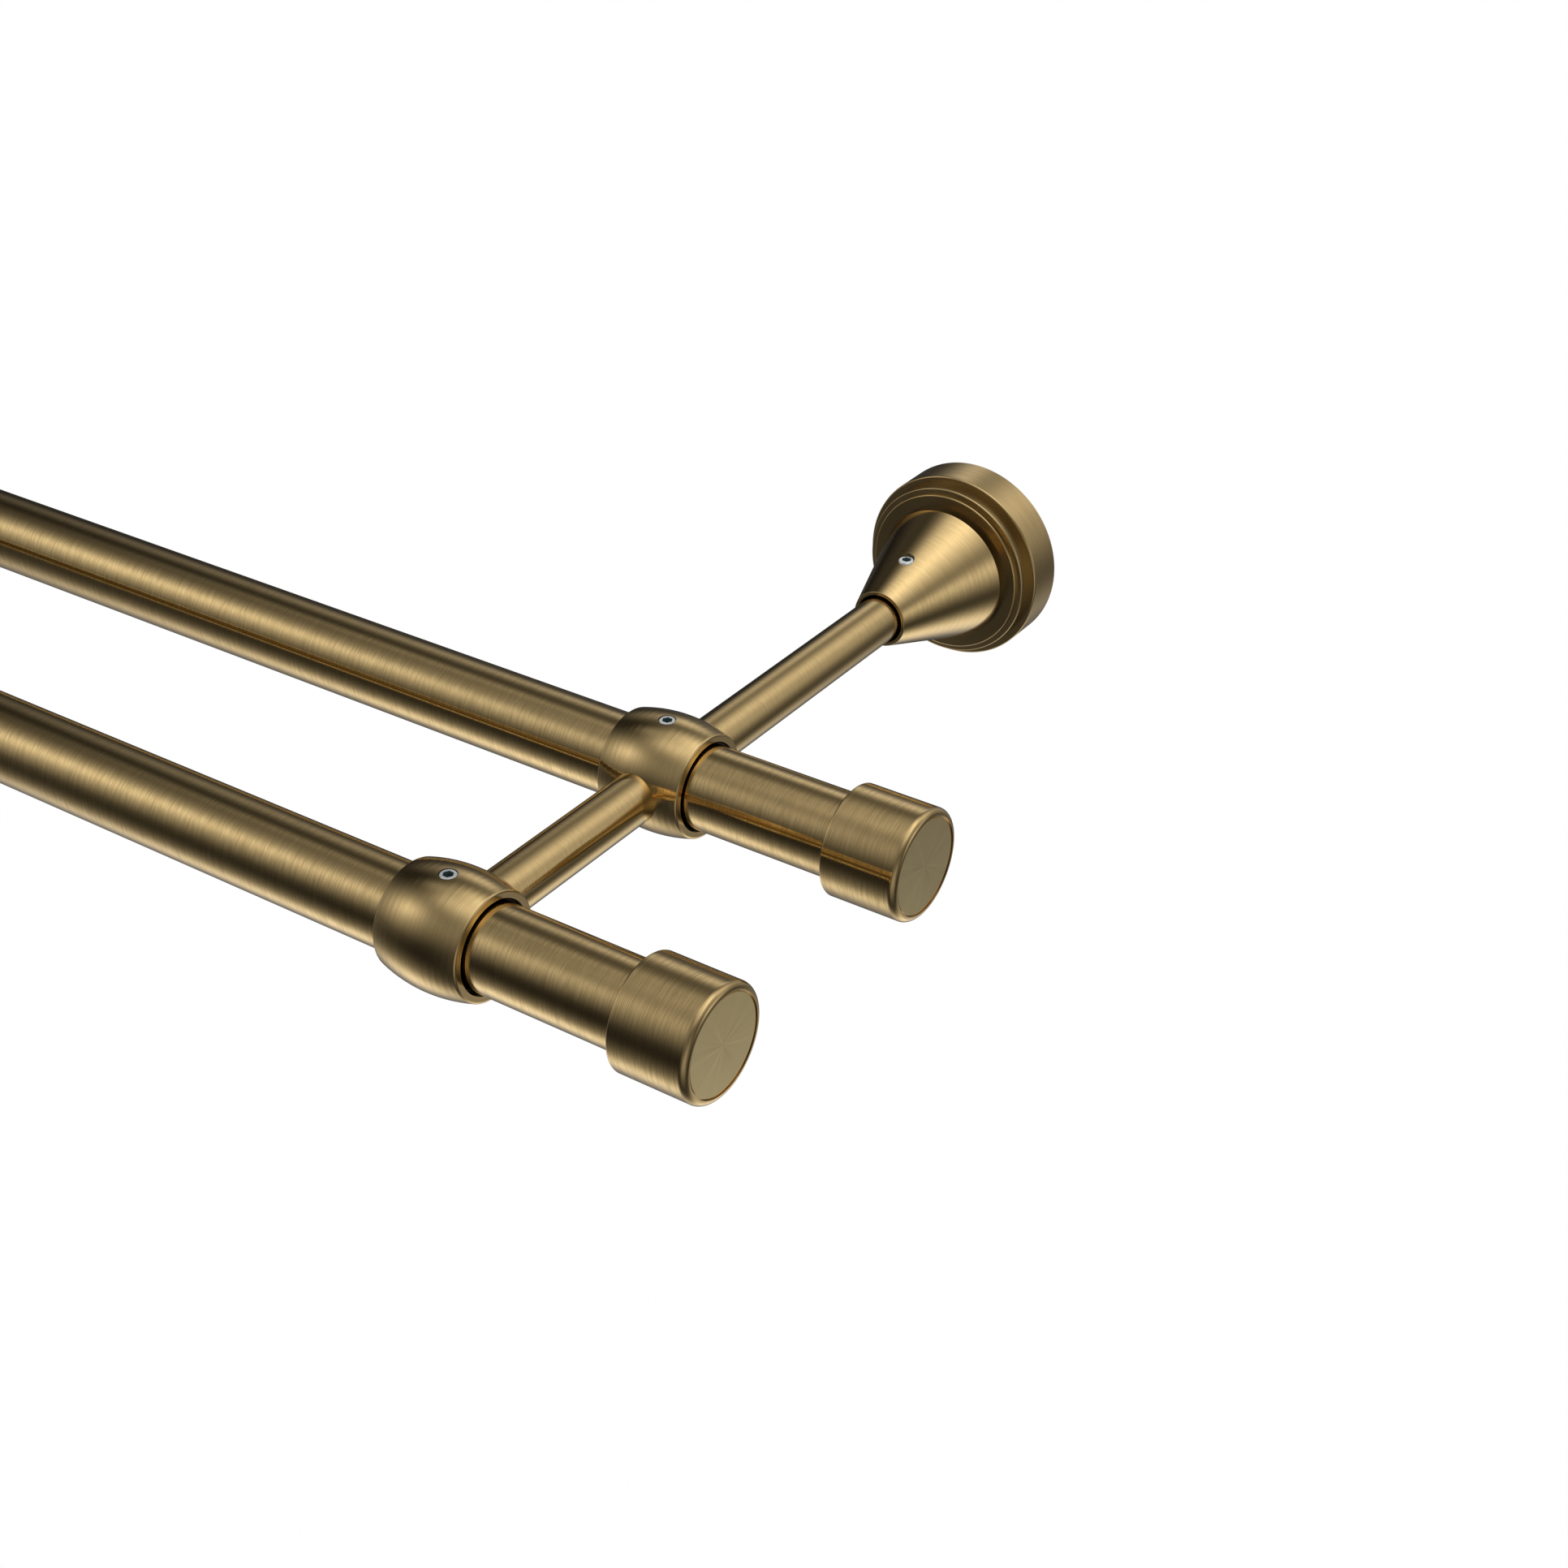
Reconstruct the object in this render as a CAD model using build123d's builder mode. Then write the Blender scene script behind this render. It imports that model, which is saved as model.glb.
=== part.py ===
from build123d import *
import os

os.makedirs("parts", exist_ok=True)

# A double curtain rod on two wall brackets, in millimetres.
# X runs along the rods, Y = 0 is the wall face with the room on -Y, Z is up.
# Heights are counted out from the wall, so a height h lies at Y = -h.

# the two rods
rod_length = 1000.0
rod_radius = 10.0
rod_wall = 1.0
front_reach = 213.4
rod_spacing = 75.5
rear_reach = front_reach - rod_spacing

# end caps
cap_length = 19.0
cap_radius = 13.12
cap_socket_depth = 15.0
cap_socket_clearance = 0.03
cap_end_round = 1.6
cap_back_round = 0.4
cap_groove_radius = 11.45
cap_disc_radius = 11.1
cap_groove_depth = 0.45
cap_disc_sink = 0.2

# bracket positions: the rod ends stop inside the caps
cap_face_reach = 68.5
rod_end_reach = cap_face_reach - cap_length + cap_socket_depth
bracket_x = rod_length / 2 - rod_end_reach

# barrel rings that hold the rods
ring_half_width = 11.1
ring_radius = 14.06
ring_edge_radius = 12.4
ring_edge_round = 0.6
ring_bore_clearance = 0.05
ring_relief_radius = 10.45
ring_relief_depth = 1.6

# bracket arms
arm_radius = 5.95
arm_seat_clearance = 0.02
rear_arm_end = 23.6

# joining studs between arms and rings
stud_radius = 3.0
stud_clearance = 0.04
stud_in_ring = 3.2
stud_in_arm = 11.0
stud_end_gap = 0.25

# clamping screws on the rings and on the cone
grub_radius = 2.0
grub_clearance = 0.05
grub_top_reach = 13.9
grub_seat_gap = 0.02
grub_key_across = 2.2
grub_key_depth = 1.8
grub_tip_chamfer = 0.5
grub_top_chamfer = 0.25
cone_grub_height = 34.4
cone_grub_top = 11.65

# cone that carries the arm
cone_mouth_height = 47.0
cone_mouth_radius = 7.4
cone_mouth_round = 0.2
cone_base_height = 16.3
cone_base_radius = 17.75
cone_base_round = 0.3
cone_bore_clearance = 0.05
cone_relief_radius = 6.3
cone_relief_depth = 2.0
cone_bore_end = 23.4
spigot_radius = 13.0
spigot_height = 8.3
spigot_clearance = 0.1
tapping_end = 18.6

# stepped rosette that covers the wall plate
rosette_radius = 25.0
rosette_rim_height = 10.5
rosette_rim_round = 0.5
step_one_radius = 22.95
step_one_height = 13.85
step_two_radius = 21.4
step_two_height = 14.8
step_round = 0.4
cavity_radius = 20.5
cavity_depth = 8.0

# wall plate with its two screw holes and the stud for the cone
plate_radius = 20.0
plate_thickness = 3.0
screw_hole_radius = 2.5
screw_hole_spacing = 26.0
countersink_radius = 4.4
wall_stud_radius = 4.0
wall_stud_clearance = 0.04
wall_stud_end = 18.1
wall_stud_slot_width = 1.2
wall_stud_slot_depth = 1.5


def keep(solid, words):
    """Name one solid and write it to its own file."""
    solid.label = words
    export_step(solid, "parts/" + words + ".step")


def side_word(side):
    return "right" if side > 0 else "left"


def across(x, y):
    """Plane square to Y at a point on the arm axis; local x is X."""
    return Plane(origin=(x, y, 0), x_dir=(1, 0, 0), z_dir=(0, 1, 0))


def corner(sketch, a, b):
    """The sketch corner nearest to local point (a, b)."""
    return sketch.vertices().sort_by_distance((a, b, 0))[0]


def barrel_sides(extra):
    """Straight part of the barrel's half section: both end faces and the axis."""
    edge = ring_edge_radius + extra
    half = ring_half_width
    return [(-half, edge), (-half, 0), (half, 0), (half, edge)]


def barrel_flank(extra):
    """Three points of the curved flank, from one end face over the middle to the other."""
    edge = ring_edge_radius + extra
    return [(-ring_half_width, edge), (0, ring_radius + extra), (ring_half_width, edge)]


def make_rod(y, words):
    """Plain tube open at both ends."""
    with BuildPart() as rod:
        with BuildSketch(Plane(origin=(-rod_length / 2, y, 0), z_dir=(1, 0, 0))):
            Circle(rod_radius)
            Circle(rod_radius - rod_wall, mode=Mode.SUBTRACT)
        extrude(amount=rod_length)
    keep(rod.part, words)


def make_cap(side, y, words):
    """Turned cap: blind socket, rounded end, fine groove round the end disc."""
    back = bracket_x + cap_face_reach - cap_length
    face = bracket_x + cap_face_reach
    socket = rod_radius + cap_socket_clearance
    floor = back + cap_socket_depth + cap_socket_clearance
    disc = face - cap_disc_sink
    groove = face - cap_groove_depth
    outline = [
        (back, socket), (back, cap_radius), (face, cap_radius), (face, cap_groove_radius),
        (groove, cap_groove_radius), (groove, cap_disc_radius), (disc, cap_disc_radius),
        (disc, 0), (floor, 0), (floor, socket), (back, socket),
    ]
    with BuildPart() as cap:
        with BuildSketch(Plane(origin=(0, y, 0))) as section:
            with BuildLine():
                Polyline(*[(side * a, b) for a, b in outline])
            make_face()
            fillet(corner(section, side * face, cap_radius), cap_end_round)
            fillet(corner(section, side * back, cap_radius), cap_back_round)
        revolve(axis=Axis((0, y, 0), (1, 0, 0)))
    keep(cap.part, words)


def make_ring(x, y, arm_sides, words):
    """Barrel ring bored for the rod, with a screw hole on top and stud sockets."""
    half = ring_half_width
    bore = rod_radius + ring_bore_clearance
    inner = half - ring_relief_depth
    with BuildPart() as ring:
        with BuildSketch(Plane(origin=(x, y, 0))) as section:
            with BuildLine():
                Polyline(*barrel_sides(0))
                ThreePointArc(*barrel_flank(0))
            make_face()
            fillet(corner(section, -half, ring_edge_radius), ring_edge_round)
            fillet(corner(section, half, ring_edge_radius), ring_edge_round)
        revolve(axis=Axis((x, y, 0), (1, 0, 0)))
        with BuildSketch(Plane(origin=(x, y, 0))):
            with BuildLine():
                Polyline(
                    (-half, 0), (-half, ring_relief_radius), (-inner, ring_relief_radius),
                    (-inner, bore), (inner, bore), (inner, ring_relief_radius),
                    (half, ring_relief_radius), (half, 0), (-half, 0),
                )
            make_face()
        revolve(axis=Axis((x, y, 0), (1, 0, 0)), mode=Mode.SUBTRACT)
        with BuildSketch(Plane(origin=(x, y, 0))):
            Circle(grub_radius + grub_clearance)
        extrude(amount=ring_radius + 1, mode=Mode.SUBTRACT)
        for way in arm_sides:
            start = ring_radius - stud_in_ring - stud_end_gap
            with BuildSketch(Plane(origin=(x, y + way * start, 0), z_dir=(0, way, 0))):
                Circle(stud_radius + stud_clearance)
            extrude(amount=stud_in_ring + stud_end_gap + 1, mode=Mode.SUBTRACT)
    keep(ring.part, words)


def make_arm(x, start, end, rings, words):
    """Round arm along Y, shaped at its ring ends to sit on the barrel."""
    with BuildPart() as arm:
        with BuildSketch(across(x, start)):
            Circle(arm_radius)
        extrude(amount=end - start)
        for y in rings:
            with BuildSketch(Plane(origin=(x, y, 0))):
                with BuildLine():
                    Polyline(*barrel_sides(arm_seat_clearance))
                    ThreePointArc(*barrel_flank(arm_seat_clearance))
                make_face()
            revolve(axis=Axis((x, y, 0), (1, 0, 0)), mode=Mode.SUBTRACT)
        for y in rings:
            way = 1 if y == start else -1
            reach = ring_radius + stud_in_arm + stud_end_gap
            with BuildSketch(Plane(origin=(x, y, 0), z_dir=(0, way, 0))):
                Circle(stud_radius + stud_clearance)
            extrude(amount=reach, mode=Mode.SUBTRACT)
    keep(arm.part, words)


def make_stud(x, y, way, words):
    """Headless stud from the ring wall into the arm."""
    start = ring_radius - stud_in_ring
    with BuildPart() as stud:
        with BuildSketch(Plane(origin=(x, y + way * start, 0), z_dir=(0, way, 0))):
            Circle(stud_radius)
        extrude(amount=stud_in_ring + stud_in_arm)
        chamfer(stud.edges().filter_by(GeomType.CIRCLE), 0.4)
    keep(stud.part, words)


def make_grub(x, y, tip, top, words):
    """Headless screw standing along Z with a hexagon socket in its top."""
    with BuildPart() as grub:
        with BuildSketch(Plane(origin=(x, y, tip))):
            Circle(grub_radius)
        extrude(amount=top - tip)
        chamfer(grub.edges().filter_by(GeomType.CIRCLE).sort_by(Axis.Z)[0], grub_tip_chamfer)
        chamfer(grub.edges().filter_by(GeomType.CIRCLE).sort_by(Axis.Z)[-1], grub_top_chamfer)
        with BuildSketch(Plane(origin=(x, y, top))):
            RegularPolygon(radius=grub_key_across / 2, side_count=6, major_radius=False)
        extrude(amount=-grub_key_depth, mode=Mode.SUBTRACT)
    keep(grub.part, words)


def make_cone(x, words):
    """Cone on the wall side of the arm: it stands on the rosette, its spigot enters it."""
    bore = arm_radius + cone_bore_clearance
    mouth = -cone_mouth_height
    relief_end = mouth + cone_relief_depth
    outline = [
        (0, -cone_bore_end), (bore, -cone_bore_end), (bore, relief_end),
        (cone_relief_radius, relief_end), (cone_relief_radius, mouth),
        (cone_mouth_radius, mouth), (cone_base_radius, -cone_base_height),
        (cone_base_radius, -step_two_height), (spigot_radius, -step_two_height),
        (spigot_radius, -spigot_height), (0, -spigot_height), (0, -cone_bore_end),
    ]
    with BuildPart() as cone:
        with BuildSketch(Plane(origin=(x, 0, 0))) as section:
            with BuildLine():
                Polyline(*outline)
            make_face()
            fillet(corner(section, cone_base_radius, -cone_base_height), cone_base_round)
            fillet(corner(section, cone_mouth_radius, mouth), cone_mouth_round)
        revolve(axis=Axis((x, 0, 0), (0, 1, 0)))
        with BuildSketch(across(x, -spigot_height)):
            Circle(wall_stud_radius + wall_stud_clearance)
        extrude(amount=spigot_height - tapping_end, mode=Mode.SUBTRACT)
        with BuildSketch(Plane(origin=(x, -cone_grub_height, 0))):
            Circle(grub_radius + grub_clearance)
        extrude(amount=cone_base_radius, mode=Mode.SUBTRACT)
    keep(cone.part, words)


def make_rosette(x, words):
    """Stepped cover disc, hollow at the back over the wall plate."""
    hole = spigot_radius + spigot_clearance
    outline = [
        (cavity_radius, 0), (rosette_radius, 0), (rosette_radius, -rosette_rim_height),
        (step_one_radius, -rosette_rim_height), (step_one_radius, -step_one_height),
        (step_two_radius, -step_one_height), (step_two_radius, -step_two_height),
        (hole, -step_two_height), (hole, -cavity_depth),
        (cavity_radius, -cavity_depth), (cavity_radius, 0),
    ]
    with BuildPart() as rosette:
        with BuildSketch(Plane(origin=(x, 0, 0))) as section:
            with BuildLine():
                Polyline(*outline)
            make_face()
            fillet(corner(section, rosette_radius, -rosette_rim_height), rosette_rim_round)
            fillet(corner(section, step_one_radius, -step_one_height), step_round)
            fillet(corner(section, step_two_radius, -step_two_height), step_round)
        revolve(axis=Axis((x, 0, 0), (0, 1, 0)))
    keep(rosette.part, words)


def make_wall_plate(x, words):
    """Round steel plate: two countersunk screw holes and a hole for the stud."""
    front = -plate_thickness
    with BuildPart() as plate:
        with BuildSketch(across(x, front)):
            Circle(plate_radius)
            Circle(wall_stud_radius + wall_stud_clearance, mode=Mode.SUBTRACT)
            with GridLocations(0, screw_hole_spacing, 1, 2):
                Circle(screw_hole_radius, mode=Mode.SUBTRACT)
        extrude(amount=plate_thickness)
        with BuildSketch(across(x, front)):
            with GridLocations(0, screw_hole_spacing, 1, 2):
                Circle(countersink_radius)
        extrude(amount=countersink_radius - screw_hole_radius, taper=45, mode=Mode.SUBTRACT)
    keep(plate.part, words)


def make_wall_stud(x, words):
    """Threaded stud from the wall plate into the cone, slotted at the wall end."""
    with BuildPart() as stud:
        with BuildSketch(across(x, 0)):
            Circle(wall_stud_radius)
        extrude(amount=-wall_stud_end)
        chamfer(stud.edges().filter_by(GeomType.CIRCLE).sort_by(Axis.Y)[0], 0.6)
        with BuildSketch(across(x, 0)):
            Rectangle(wall_stud_radius * 3, wall_stud_slot_width)
        extrude(amount=-wall_stud_slot_depth, mode=Mode.SUBTRACT)
    keep(stud.part, words)


front_y = -front_reach
rear_y = -rear_reach

make_rod(front_y, "front_rod")
make_rod(rear_y, "rear_rod")

for side in (-1, 1):
    word = side_word(side)
    x = side * bracket_x
    tip = rod_radius + grub_seat_gap
    make_cap(side, front_y, "front_cap_" + word)
    make_cap(side, rear_y, "rear_cap_" + word)
    make_ring(x, front_y, (1,), "front_ring_" + word)
    make_ring(x, rear_y, (-1, 1), "rear_ring_" + word)
    make_arm(x, front_y, rear_y, (front_y, rear_y), "front_arm_" + word)
    make_arm(x, rear_y, -rear_arm_end, (rear_y,), "rear_arm_" + word)
    make_stud(x, front_y, 1, "front_ring_stud_" + word)
    make_stud(x, rear_y, -1, "middle_stud_" + word)
    make_stud(x, rear_y, 1, "rear_ring_stud_" + word)
    make_grub(x, front_y, tip, grub_top_reach, "front_ring_grub_" + word)
    make_grub(x, rear_y, tip, grub_top_reach, "rear_ring_grub_" + word)
    make_grub(x, -cone_grub_height, arm_radius + grub_seat_gap, cone_grub_top, "cone_grub_" + word)
    make_cone(x, "cone_" + word)
    make_rosette(x, "rosette_" + word)
    make_wall_plate(x, "wall_plate_" + word)
    make_wall_stud(x, "wall_stud_" + word)
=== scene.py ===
import bpy
import bmesh
import numpy as np
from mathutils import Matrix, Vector


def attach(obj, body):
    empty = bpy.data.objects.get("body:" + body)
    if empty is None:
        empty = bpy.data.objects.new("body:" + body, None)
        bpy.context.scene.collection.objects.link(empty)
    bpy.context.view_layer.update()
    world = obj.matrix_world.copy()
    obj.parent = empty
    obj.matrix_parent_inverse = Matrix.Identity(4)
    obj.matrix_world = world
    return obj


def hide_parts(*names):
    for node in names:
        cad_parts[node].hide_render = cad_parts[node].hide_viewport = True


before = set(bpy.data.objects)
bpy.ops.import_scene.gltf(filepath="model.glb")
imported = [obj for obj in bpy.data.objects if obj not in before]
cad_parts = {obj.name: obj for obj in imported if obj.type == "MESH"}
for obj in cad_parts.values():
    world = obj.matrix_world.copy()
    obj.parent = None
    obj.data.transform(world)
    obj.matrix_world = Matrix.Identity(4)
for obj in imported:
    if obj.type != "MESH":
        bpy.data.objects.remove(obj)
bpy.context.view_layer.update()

# Measures, in millimetres. Names that end in X, Y or END are places in the frame, in TOP or FLOOR heights
# above a rod's axis, in SIDES or STEPS counts. EDGE_BREAK is the broken edge of ring bores and cone mouths.
BRACKET_X = 435.5
FRONT_Y = -213.4
REAR_Y = -137.9
ROD_LENGTH, ROD_RADIUS, ROD_WALL = 1000.0, 10.0, 1.0

CAP_FACE, CAP_LENGTH, CAP_RADIUS, CAP_ROUND, CAP_BACK_ROUND = 68.5, 19.0, 13.12, 1.6, 0.4
CAP_GROOVE, CAP_DISC, CAP_GROOVE_DEPTH, CAP_SINK = 11.45, 11.1, 0.45, 0.2
CAP_SOCKET, CAP_SOCKET_DEPTH, CAP_DISC_ROUND = 10.03, 15.03, 0.08

RING_HALF, RING_RADIUS, RING_EDGE, RING_ROUND = 11.1, 14.06, 12.4, 0.6
RING_BORE, RING_RELIEF, RING_RELIEF_DEPTH = 10.05, 10.45, 1.6
RING_EDGE_WIDTH, RING_WINDOW, RING_WINDOW_SIDES, RING_HOLE_FLOOR = 1.6, 3.2, 20, 10.6
EDGE_BREAK = 0.3
SCREW_HOLE, KEY_ROOM, RING_SCREW_TOP, CONE_SCREW_TOP = 2.05, 1.7, 13.9, 11.65

ARM_RADIUS, ARM_GAP, REAR_ARM_END, ARM_SIDES = 5.95, 0.02, -23.6, 128

CONE_MOUTH_Y, CONE_MOUTH, CONE_MOUTH_ROUND = -47.0, 7.4, 0.2
CONE_BASE_Y, CONE_BASE, CONE_BASE_ROUND = -16.3, 17.75, 0.3
CONE_RELIEF, CONE_RELIEF_DEPTH, CONE_BORE, CONE_BORE_END = 6.3, 2.0, 6.0, -23.4
CONE_SCREW_Y, CONE_WINDOW, CONE_WINDOW_SIDES, CONE_HOLE_FLOOR = -34.4, 3.4, 28, 6.6
SPIGOT, SPIGOT_Y, STUD_HOLE, STUD_HOLE_END = 13.0, -8.3, 4.04, -18.6

ROSETTE_RADIUS, ROSETTE_RIM_Y, ROSETTE_ROUND = 25.0, -10.5, 0.5
STEP_ONE, STEP_ONE_Y, STEP_TWO, STEP_TWO_Y, STEP_ROUND = 22.95, -13.85, 21.4, -14.8, 0.4
SPIGOT_HOLE, CAVITY_Y, CAVITY = 13.1, -8.0, 20.5

TURN = 2 * np.pi
SIDES = 224
WINDOW_STEPS = 24


# Outlines and surfaces.
def rounded(corners, radii, steps=10):
    """Outline with rounded corners. At a corner C with unit ways a and b to its neighbours and
    half angle h, the round of radius R has its centre at C + (a + b)/|a + b| * R/sin(h); its points
    are centre + R * (cos t, sin t), with t running between the two places where it meets the sides."""
    pts = np.asarray(corners, float)
    rows = []
    for i, point in enumerate(pts):
        radius = radii.get(i, 0.0)
        if radius == 0.0:
            rows.append(point[None])
            continue
        a = pts[i - 1] - point
        b = pts[(i + 1) % len(pts)] - point
        a, b = a / np.linalg.norm(a), b / np.linalg.norm(b)
        half = 0.5 * np.arccos(np.clip(a @ b, -1, 1))
        middle = point + (a + b) / np.linalg.norm(a + b) * radius / np.sin(half)
        start = point + a * radius / np.tan(half) - middle
        end = point + b * radius / np.tan(half) - middle
        t0 = np.arctan2(start[1], start[0])
        sweep = (np.arctan2(end[1], end[0]) - t0 + np.pi) % TURN - np.pi
        t = t0 + sweep * np.linspace(0, 1, steps + 1)
        rows.append(middle + radius * np.stack([np.cos(t), np.sin(t)], 1))
    return np.concatenate(rows)


def around(axis, x, y, along, radius, turn):
    """Points of a surface of revolution. With the axis on X: (along, y + r sin t, r cos t).
    With the axis on Y: (x + r sin t, along, r cos t). Everything in millimetres."""
    if axis == "X":
        return np.stack([x + along, y + radius * np.sin(turn), radius * np.cos(turn)], -1)
    return np.stack([x + radius * np.sin(turn), along + 0 * turn, radius * np.cos(turn)], -1)


def sheet_of(points, length, turn, painted_shade=0.0, faced=0.0):
    """One grid patch: its points, a map (turn / full turn, length along the outline in mm), its painted shade
    (0 none to 1 near black: colour darkened to stand for shade), and whether it is a faced end."""
    return points, np.stack([turn / TURN + 0 * length, length + 0 * turn], -1), painted_shade, faced


def eased(outline, near=0.05):
    """Outline with a point close to both ends of every long straight run, at p + (q - p) * near / |q - p|
    and the same from q, so that the shading of the run stays flat beside a rounded edge."""
    p, q = outline[:-1], outline[1:]
    length = np.linalg.norm(q - p, axis=1, keepdims=True)
    step = (q - p) * near / length
    rows = np.stack([p, p + step, q - step], 1)
    keep = np.stack([np.ones(len(p), bool), length[:, 0] > 8 * near, length[:, 0] > 8 * near], 1)
    return np.concatenate([rows[keep], outline[-1:]])


def revolve(axis, x, y, outline, start=0.0, end=TURN, sides=SIDES, painted_shade=0.0, faced=0.0):
    """Patch made by turning an outline of (along, radius) pairs from one angle to another."""
    outline = eased(np.asarray(outline, float))
    run = np.r_[0, np.cumsum(np.linalg.norm(np.diff(outline, axis=0), axis=1))]
    turn = np.linspace(start, end, sides + 1)
    s, t = np.meshgrid(np.arange(len(outline)), turn, indexing="ij")
    points = around(axis, x, y, outline[s, 0], outline[s, 1], t)
    return sheet_of(points, run[s], t, painted_shade, faced)


def make_piece(solid, word, patches, finish):
    """Joins grid patches into one closed mesh and lets it stand for its solid in the frame."""
    name = solid + "_" + word
    points, maps, faces, painted_shades, ends, base = [], [], [], [], [], 0
    for grid, chart, painted_shade, faced in patches:
        rows, cols = grid.shape[:2]
        index = base + np.arange(rows * cols).reshape(rows, cols)
        quads = np.stack([index[:-1, :-1], index[:-1, 1:], index[1:, 1:], index[1:, :-1]], -1)
        faces.append(quads.reshape(-1, 4))
        points.append(grid.reshape(-1, 3) / 1000.0)
        maps.append(chart.reshape(-1, 2))
        painted_shades.append(np.full(len(faces[-1]), painted_shade))
        ends.append(np.full(len(faces[-1]), faced))
        base += rows * cols
    points, maps, faces = np.concatenate(points), np.concatenate(maps), np.concatenate(faces)
    mesh = bpy.data.meshes.new(name)
    mesh.from_pydata(points.tolist(), [], faces.tolist())
    layer = mesh.uv_layers.new(name="turning")
    layer.data.foreach_set("uv", maps[faces.ravel()].astype(np.float32).ravel())
    # Each face keeps its painted shade, how far its colour is darkened to stand for shade, and whether it is
    # a faced end.
    for kind, values in (("painted_shade", painted_shades), ("faced", ends)):
        kept = mesh.attributes.new(kind, "FLOAT", "FACE")
        kept.data.foreach_set("value", np.concatenate(values).astype(np.float32))
    work = bmesh.new()
    work.from_mesh(mesh)
    bmesh.ops.remove_doubles(work, verts=work.verts, dist=2e-6)
    bmesh.ops.dissolve_degenerate(work, edges=work.edges, dist=1e-7)
    bmesh.ops.recalc_face_normals(work, faces=work.faces)
    work.to_mesh(mesh)
    work.free()
    mesh.shade_smooth()
    mesh.set_sharp_from_angle(angle=np.radians(32))
    piece = bpy.data.objects.new(name, mesh)
    bpy.context.collection.objects.link(piece)
    mesh.materials.append(finish)
    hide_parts(solid)
    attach(piece, "root")


# Finishes.
def node(tree, kind, x, y, **values):
    """New shader node at a place of the node sheet, with its settings."""
    made = tree.nodes.new(kind)
    made.location = (x, y)
    for key, value in values.items():
        setattr(made, key, value)
    return made


def arithmetic(tree, operation, a, b, x, y, c=None):
    """One calculation with a, b and c, each a number, a socket or left out."""
    made = node(tree, "ShaderNodeMath", x, y, operation=operation)
    for slot, value in enumerate((a, b, c)):
        if value is None:
            continue
        if isinstance(value, (int, float)):
            made.inputs[slot].default_value = value
        else:
            tree.links.new(value, made.inputs[slot])
    return made.outputs[0]


def turned_lines(tree, across, around_scale, x, y):
    """Noise that is drawn out round the axis: its place is (a cos u, a sin u, k v), with u the
    angle, v the length along the outline, a the around_scale and k the number across, so that it reads
    as marks of a turning brush."""
    place = node(tree, "ShaderNodeUVMap", x, y, uv_map="turning")
    parts = node(tree, "ShaderNodeSeparateXYZ", x + 160, y)
    tree.links.new(place.outputs[0], parts.inputs[0])
    angle = arithmetic(tree, "MULTIPLY", parts.outputs[0], TURN, x + 320, y)
    cosine = arithmetic(tree, "COSINE", angle, None, x + 480, y)
    sine = arithmetic(tree, "SINE", angle, None, x + 480, y - 120)
    join = node(tree, "ShaderNodeCombineXYZ", x + 800, y)
    tree.links.new(arithmetic(tree, "MULTIPLY", cosine, around_scale, x + 640, y), join.inputs[0])
    tree.links.new(arithmetic(tree, "MULTIPLY", sine, around_scale, x + 640, y - 120), join.inputs[1])
    tree.links.new(arithmetic(tree, "MULTIPLY", parts.outputs[1], across, x + 640, y - 240), join.inputs[2])
    noise = node(tree, "ShaderNodeTexNoise", x + 960, y)
    noise.inputs["Scale"].default_value = 1.0
    noise.inputs["Detail"].default_value = 2.0
    noise.inputs["Roughness"].default_value = 0.6
    tree.links.new(join.outputs[0], noise.inputs["Vector"])
    return noise.outputs["Fac"]


def between(tree, value, low, high, x, y, start=0.25, stop=0.75):
    """The value's way from start to stop, carried onto the way from low to high."""
    made = node(tree, "ShaderNodeMapRange", x, y)
    made.inputs["From Min"].default_value = start
    made.inputs["From Max"].default_value = stop
    made.inputs["To Min"].default_value = low
    made.inputs["To Max"].default_value = high
    tree.links.new(value, made.inputs["Value"])
    return made.outputs["Result"]


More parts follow.
